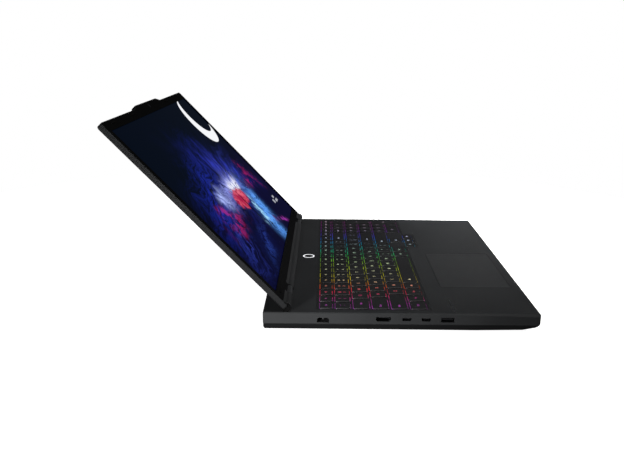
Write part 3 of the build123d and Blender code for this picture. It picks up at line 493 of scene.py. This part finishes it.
def key_outline(low, high, grow, turns=5):
    """A keycap's outline, rounder at its front corners, grown or shrunk by a distance."""
    front, rear = max(FRONT_CORNER + grow, LEAST_CORNER), max(REAR_CORNER + grow, LEAST_CORNER)
    corners = [
        (high.x + grow - rear, high.y + grow - rear, rear, 0),
        (low.x - grow + rear, high.y + grow - rear, rear, 90),
        (low.x - grow + front, low.y - grow + front, front, 180),
        (high.x + grow - front, low.y - grow + front, front, 270),
    ]
    points = []
    for cx, cy, radius, start in corners:
        for i in range(turns + 1):
            angle = math.radians(start + 90 * i / turns)
            points.append((cx + radius * math.cos(angle), cy + radius * math.sin(angle)))
    return points


def loft(bm, rings, closed_ends=True):
    """Skins a stack of outlines with the same number of points."""
    loops = [[bm.verts.new(p) for p in ring] for ring in rings]
    count = len(loops[0])
    for lower, upper in zip(loops, loops[1:]):
        for i in range(count):
            bm.faces.new((lower[i], lower[(i + 1) % count], upper[(i + 1) % count], upper[i]))
    if closed_ends:
        bm.faces.new(list(reversed(loops[0])))
        bm.faces.new(loops[-1])
    return loops


CAP_PROFILE = [  # how far the outline grows, and the height there, in mm
    (0.0, 0.0), (0.0, 1.15), (-0.03, 1.32), (-0.12, 1.52), (-0.26, 1.70),
    (-0.44, 1.82), (-0.70, 1.88), (-1.30, 1.885), (-2.2, 1.865),
]


def add_keycaps(node):
    """Rounded keycaps in place of the plain ones."""
    bm = bmesh.new()
    for low, high in solids(node):
        rings = []
        for grow, height in CAP_PROFILE:
            rings.append([(x, y, low.z + height * MM) for x, y in key_outline(low, high, grow * MM)])
        loft(bm, rings)
    made = piece(node + "_caps", bm, MATERIALS["keycap"], node)
    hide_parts(node)


FRONT_ROWS = ("keys_bottom_row", "key_space", "keys_arrow")
# A light guide's outer and inner distance from its key, and the heights of its edges above the key's foot.
GUIDE_OUT, GUIDE_IN = 0.50 * MM, 0.06 * MM
GUIDE_LOW, GUIDE_HIGH = 0.30 * MM, 0.95 * MM  # lower edge, and upper edge at the sides and rear
GUIDE_NEAR, GUIDE_NEAR_FRONT = 0.60 * MM, 0.32 * MM  # upper edge in front of a key, and in the front rows
GUIDE_RISE = 4.5 * MM  # the stretch from front to rear over which the upper edge rises


def guide_ring(low, high, grow, upper, near):
    """One of the four edge lines of a key's light guide. An upper one is lower in front of the key."""
    points = []
    for x, y in key_outline(low, high, grow):
        share = min(max((y - low.y) / GUIDE_RISE, 0.0), 1.0)
        height = near + (GUIDE_HIGH - near) * share if upper else GUIDE_LOW
        points.append((x, y, low.z + height))
    return points


def add_glow(nodes):
    """Thin light guides that fill the slot round every key, lower along its front edge."""
    bm = bmesh.new()
    for node in nodes:
        near = GUIDE_NEAR_FRONT if node in FRONT_ROWS else GUIDE_NEAR
        for low, high in solids(node):
            edges = ((GUIDE_OUT, False), (GUIDE_OUT, True), (GUIDE_IN, True), (GUIDE_IN, False))
            rings = [guide_ring(low, high, grow, upper, near) for grow, upper in edges]
            loops = loft(bm, rings, closed_ends=False)
            count = len(loops[0])
            for i in range(count):
                j = (i + 1) % count
                bm.faces.new((loops[3][i], loops[3][j], loops[0][j], loops[0][i]))
    piece("key_slot_light", bm, GLOW, "base", smooth=False)


INK = 0.03 * MM  # half the thickness of a legend


def text_mesh(text, size):
    """A line of plain sans-serif text as a thin mesh, centred on the origin."""
    curve = bpy.data.curves.new("text", "FONT")
    curve.body, curve.size = text, size
    curve.align_x, curve.align_y = "CENTER", "CENTER"
    curve.extrude, curve.resolution_u = INK, 3
    holder = bpy.data.objects.new("text", curve)
    bpy.context.scene.collection.objects.link(holder)
    bpy.context.view_layer.update()
    mesh = bpy.data.meshes.new_from_object(holder.evaluated_get(bpy.context.evaluated_depsgraph_get()))
    bpy.data.objects.remove(holder)
    return mesh


def add_arrow(bm, x, y, z, turn):
    """A small solid triangle, pointing away from the user before it is turned."""
    size = 1.7 * MM
    corners = [Vector((0, size)), Vector((-size, -size * 0.7)), Vector((size, -size * 0.7))]
    place = Matrix.Translation((x, y, 0)) @ Matrix.Rotation(math.radians(turn), 4, "Z")
    rings = []
    for height in (z - INK, z + INK):
        rings.append([place @ Vector((*corner, height)) for corner in corners])
    loft(bm, rings)


LABELS = {
    "keys_function_row": ["Esc"] + [f"F{i}" for i in range(1, 13)] + "Ins Del Home End PgUp PgDn".split(),
    "keys_number_row": [f"{a} {b}" for a, b in zip("~!@#$%^&*()_+", "`1234567890-=")] + ["Back"],
    "keys_upper_row": ["Tab"] + list("QWERTYUIOP") + ["{ [", "} ]", "| \\"],
    "keys_home_row": ["Caps"] + list("ASDFGHJKL") + [": ;", "\" '", "Enter"],
    "keys_lower_row": ["Shift"] + list("ZXCVBNM") + ["< ,", "> .", "? /", "Shift"],
    "keys_bottom_row": ["Ctrl", "Fn", "Sys", "Alt", "Alt", "Ctrl"],
    "keys_number_pad": "Num / * - 7 8 9 + 4 5 6 1 2 3 Ent 0 .".split(),
    "keys_arrow": [0, 90, 180, 270],
    "key_space": [],
}


LETTER, WORD, PAIR = 4.6 * MM, 3.1 * MM, 3.7 * MM  # text sizes of one sign, a word, and one of two signs
PAIR_STEP = 5.4 * MM  # between two signs, one above the other
WORD_X = 7.6 * MM  # from a wide key's left side to the middle of its word


def add_legends(node):
    """Lit letters, digits and signs on one group of keys."""
    bm = bmesh.new()
    for (low, high), label in zip(solids(node), LABELS[node]):
        x, y, z = (low.x + high.x) / 2, (low.y + high.y) / 2, high.z - 0.01 * MM
        if isinstance(label, int):
            add_arrow(bm, x, y, z, label)
            continue
        if len(label) > 3 and high.x - low.x > 20 * MM:
            x = low.x + WORD_X
        lines = label.split(" ")
        for i, text in enumerate(lines):
            if len(lines) == 1:
                size, lift = (LETTER if len(text) == 1 else WORD), 0
            else:
                size, lift = PAIR, PAIR_STEP * (0.5 - i)
            mesh = text_mesh(text, size)
            mesh.transform(Matrix.Translation((x, y + lift, z)))
            bm.from_mesh(mesh)
            bpy.data.meshes.remove(mesh)
    if node == "key_space":
        low, high = solids(node)[0]
        add_arrow(bm, low.x + 9 * MM, (low.y + high.y) / 2, high.z, 0)
    piece(node + "_legends", bm, LEGEND, node, smooth=False)


def box_into(bm, low, high):
    """A box between two corners, with its edges broken by a small chamfer."""
    size = Vector(high) - Vector(low)
    place = Matrix.Translation((Vector(low) + Vector(high)) / 2) @ Matrix.Diagonal((*size, 1))
    made = bmesh.ops.create_cube(bm, size=1.0, matrix=place)
    edges = list({e for v in made["verts"] for e in v.link_edges})
    bmesh.ops.bevel(bm, geom=edges, offset=min(size) * 0.18, segments=1, affect="EDGES")


def add_contacts():
    """Gold contacts on the tongues of the sockets."""
    bm = bmesh.new()

    def rows(node, count, width, drop, depth):
        for low, high in solids(node):
            left = low.x + high.x < 0
            mid_y, mid_z = (low.y + high.y) / 2, (low.z + high.z) / 2
            inner = high.x if left else low.x
            sign = -1 if left else 1
            x0, x1 = sorted((inner + sign * 1.2 * MM, inner + sign * depth * MM))
            for i in range(count):
                y = mid_y + (i - (count - 1) / 2) * width / count * MM
                half = width / count * 0.3 * MM
                z = mid_z + drop * MM
                box_into(bm, (x0, y - half, z - 0.12 * MM), (x1, y + half, z + 0.06 * MM))

    rows("usb_a_ports", 4, 9.6, 0.06, 9.6)
    rows("hdmi_port", 10, 9.4, -0.3, 7.4)
    rows("usb_c_ports", 12, 5.8, -0.37, 5.0)
    piece("socket_contacts", bm, GOLD, "base", smooth=False)


def lathe_x(bm, centre, profile, side, turns=48):
    """A solid turned about a line along X. The profile lists distances out along X and radii, in mm."""
    rings = []
    for out, radius in profile:
        ring = []
        for i in range(turns):
            angle = 2 * math.pi * i / turns
            y, z = radius * math.cos(angle), radius * math.sin(angle)
            ring.append((side * out * MM, centre.y + y * MM, centre.z + z * MM))
        rings.append(ring)
    loft(bm, rings)


PLUG_PROFILE = [(178.0, 4.62), (178.66, 4.62), (178.78, 4.5), (178.78, 2.4), (178.66, 2.2)]


def add_barrel_plugs():
    """Near-black plugs that close the ends of the long round hinge cover; their black is painted shade,
    for the shadow at those ends.
    """
    bm = bmesh.new()
    for side in (-1, 1):
        lathe_x(bm, AXIS, PLUG_PROFILE, side)
    piece("hinge_cover_plugs_painted_shade", bm, PLUG_PAINTED_SHADE, "lid")


def add_screw_recesses():
    """Six-lobed drives in the bottom screws, in near-black socket plastic: painted shade for the dark
    inside of each recess.
    """
    bm = bmesh.new()
    for low, high in solids("bottom_screws"):
        x, y = (low.x + high.x) / 2, (low.y + high.y) / 2
        rings = []
        for z, size in ((low.z + 0.10 * MM, 0.72), (low.z + 0.34 * MM, 0.66)):
            ring = []
            for i in range(36):
                angle = 2 * math.pi * i / 36
                radius = (size + 0.14 * math.cos(6 * angle)) * MM
                ring.append((x + radius * math.cos(angle), y + radius * math.sin(angle), z))
            rings.append(ring)
        loft(bm, rings)
    # painted shade: near-black socket plastic in place of the screws' metal
    piece("screw_drives_painted_shade", bm, MATERIALS["socket_plastic"], "base")


# ---- stage ----------------------------------------------------------------------------------
def camera_split(tree, seen, lighting, out):
    """One shader for what the camera sees, and another for the light that is cast."""
    path = tree.nodes.new("ShaderNodeLightPath")
    mixer = tree.nodes.new("ShaderNodeMixShader")
    tree.links.new(path.outputs["Is Camera Ray"], mixer.inputs[0])
    tree.links.new(lighting.outputs[0], mixer.inputs[1])
    tree.links.new(seen.outputs[0], mixer.inputs[2])
    tree.links.new(mixer.outputs[0], out.inputs[0])


FLOOR_RADIUS = 0.7


def add_stage():
    """A round pale floor that fades into a white surround."""
    bm = bmesh.new()
    bmesh.ops.create_circle(bm, cap_ends=True, segments=96, radius=FLOOR_RADIUS)
    mesh = bpy.data.meshes.new("floor")
    bm.to_mesh(mesh)
    bm.free()
    floor = bpy.data.objects.new("floor", mesh)
    bpy.context.scene.collection.objects.link(floor)
    g = Graph("floor")
    g.surface(
        Base_Color=(0.88, 0.88, 0.88, 1), Roughness=0.9, Specular_IOR_Level=0.1,
        Emission_Color=(1, 1, 1, 1), Emission_Strength=0.93,
    )
    shader = g.output.inputs[0].links[0].from_node
    bounce = g.node("ShaderNodeEmission", Color=(1, 1, 1, 1), Strength=0.12)
    camera_split(g.tree, shader, bounce, g.output)
    mesh.materials.append(g.material)

    world = bpy.data.worlds.new("world")
    bpy.context.scene.world = world
    world.use_nodes = True
    tree = world.node_tree
    tree.nodes.clear()
    out = tree.nodes.new("ShaderNodeOutputWorld")
    seen, lighting = tree.nodes.new("ShaderNodeBackground"), tree.nodes.new("ShaderNodeBackground")
    seen.inputs[0].default_value, seen.inputs[1].default_value = (1, 1, 1, 1), 1.0
    lighting.inputs[0].default_value, lighting.inputs[1].default_value = (0.92, 0.96, 1.0, 1), 0.02
    camera_split(tree, seen, lighting, out)


def add_lights():
    """Soft lamps: two large ones overhead, one low at the right, and three spots that fill the sides."""

    def lamp(name, kind, at, target, power, soft=False, **settings):
        data = bpy.data.lights.new(name, kind)
        data.energy = power
        for key, value in settings.items():
            setattr(data, key, value)
        made = bpy.data.objects.new(name, data)
        made.location = at
        made.rotation_euler = (Vector(target) - Vector(at)).to_track_quat("-Z", "Y").to_euler()
        made.visible_camera = False
        made.visible_glossy = not soft
        bpy.context.scene.collection.objects.link(made)

    lamp("overhead", "AREA", (0.2, -0.3, 2.0), (0, -0.1, 0), 7.5, shape="SQUARE", size=1.6)
    lamp("left", "AREA", (-0.9, -0.9, 2.2), (0, -0.1, 0), 5.0, shape="SQUARE", size=1.6)
    lamp("right", "AREA", (0.36, -0.30, 0.20), (0.15, -0.25, 0), 2.4, shape="SQUARE", size=0.16, soft=True)
    lamp(
        "lid_edge", "SPOT", (-1.4, 0.5, 0.6), (-0.18, 0.155, 0.185), 48.0,
        spot_size=math.radians(13), spot_blend=1.0, shadow_soft_size=0.1,
    )
    lamp(
        "front", "SPOT", (0.5, -1.3, 0.9), (-0.03, -0.22, 0.02), 60.0,
        spot_size=math.radians(15), spot_blend=1.0, shadow_soft_size=0.15,
    )
    lamp(
        "rear_left", "SPOT", (-1.4, 0.7, 0.2), (-0.182, -0.005, 0.012), 190.0,
        spot_size=math.radians(16.8), spot_blend=1.0, shadow_soft_size=0.12,
    )


bpy.context.scene.view_settings.view_transform = "Standard"
add_camera()
add_stage()
add_lights()
dress_cad_nodes()
KEY_NODES = list(LABELS)
add_glow(KEY_NODES)
for key_node in KEY_NODES:
    add_legends(key_node)
    add_keycaps(key_node)
add_contacts()
add_screw_recesses()
add_barrel_plugs()
